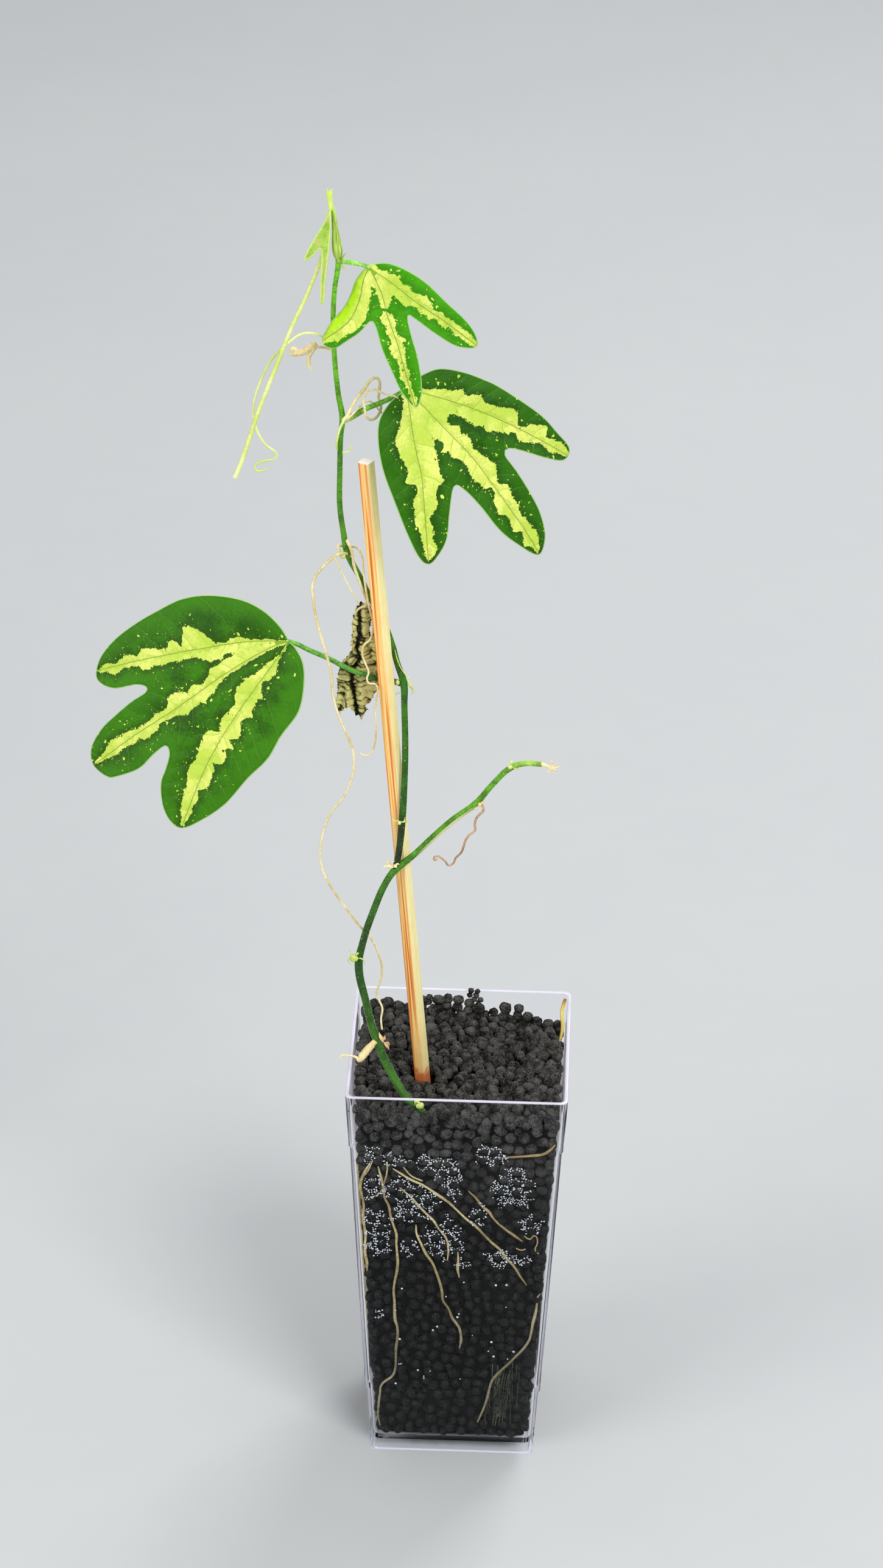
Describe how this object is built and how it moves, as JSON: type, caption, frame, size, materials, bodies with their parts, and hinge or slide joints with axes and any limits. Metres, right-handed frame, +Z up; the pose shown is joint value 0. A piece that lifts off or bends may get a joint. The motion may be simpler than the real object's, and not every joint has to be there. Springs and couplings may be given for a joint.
{
  "type": "passion flower vine",
  "caption": "Young passion flower vine with yellow-banded three-lobed leaves and curling tendrils, climbing a square bamboo stake in a tall clear square pot of black granules.",
  "frame": {"origin": "centre of the bounding box's underside, on the plane the pot stands on; the pot's own axis is 34.5 mm towards +X, because the vine leans out to the left of its pot", "axes": "+Z up, -Y towards the side the leaves face, +X to the right of someone who looks at the leaves"},
  "size_m": [0.129, 0.06, 0.3749],
  "materials": {
    "clear_plastic": "clear, glossy",
    "black_granules": "matte, granular",
    "bamboo": "satin, striped",
    "stem_green": "satin, downy",
    "petiole_green": "satin",
    "leaf_green": "satin, with yellow-green bands along the veins",
    "young_green": "satin",
    "tendril_pale": "satin",
    "tendril_tan": "satin",
    "tendril_brown": "matte, dry",
    "bud_yellow": "satin",
    "dried_cream": "matte, dry",
    "dried_olive": "matte, crumpled",
    "root_tan": "satin"
  },
  "bodies": {
    "root": {"bamboo_stake": "bamboo", "bud_at_soil": "bud_yellow", "bud_branch": "dried_cream", "bud_branch_end": "bud_yellow", "bud_fork": "bud_yellow", "bud_lower": "bud_yellow", "bud_mid": "bud_yellow", "climbing_shoot": "stem_green", "corner_root": "root_tan", "dried_bud": "dried_cream", "dried_leaf": "dried_olive", "dried_leaf_stalk": "dried_olive", "dried_stub": "dried_cream", "growing_tip": "tendril_pale", "leaf_left": "leaf_green", "leaf_middle": "leaf_green", "leaf_scar": "tendril_brown", "leaf_upper": "leaf_green", "old_stem": "stem_green", "old_stem_dried_tip": "tendril_brown", "petiole_left": "petiole_green", "petiole_middle": "petiole_green", "petiole_upper": "petiole_green", "pot": "clear_plastic", "stipule_bend": "bud_yellow", "stipule_low": "tendril_pale", "stipule_top": "tendril_pale", "substrate": "black_granules", "tendril_dried": "tendril_brown", "tendril_lower_branch": "tendril_tan", "tendril_lower_long": "tendril_tan", "tendril_lower_side": "tendril_tan", "tendril_middle_down": "tendril_pale", "tendril_middle_hook": "tendril_pale", "tendril_middle_looped": "tendril_tan", "tendril_middle_side": "tendril_tan", "tendril_upper_hooked": "tendril_pale", "tendril_upper_stout": "tendril_pale", "wall_root_1": "root_tan", "wall_root_2": "root_tan", "wall_root_3": "root_tan", "wall_root_4": "root_tan", "wall_root_5": "root_tan", "wall_root_6": "root_tan", "wall_root_7": "root_tan", "wall_root_8": "root_tan", "wall_root_9": "root_tan", "young_leaf": "young_green", "young_leaf_folded": "young_green"}
  },
  "joints": []
}
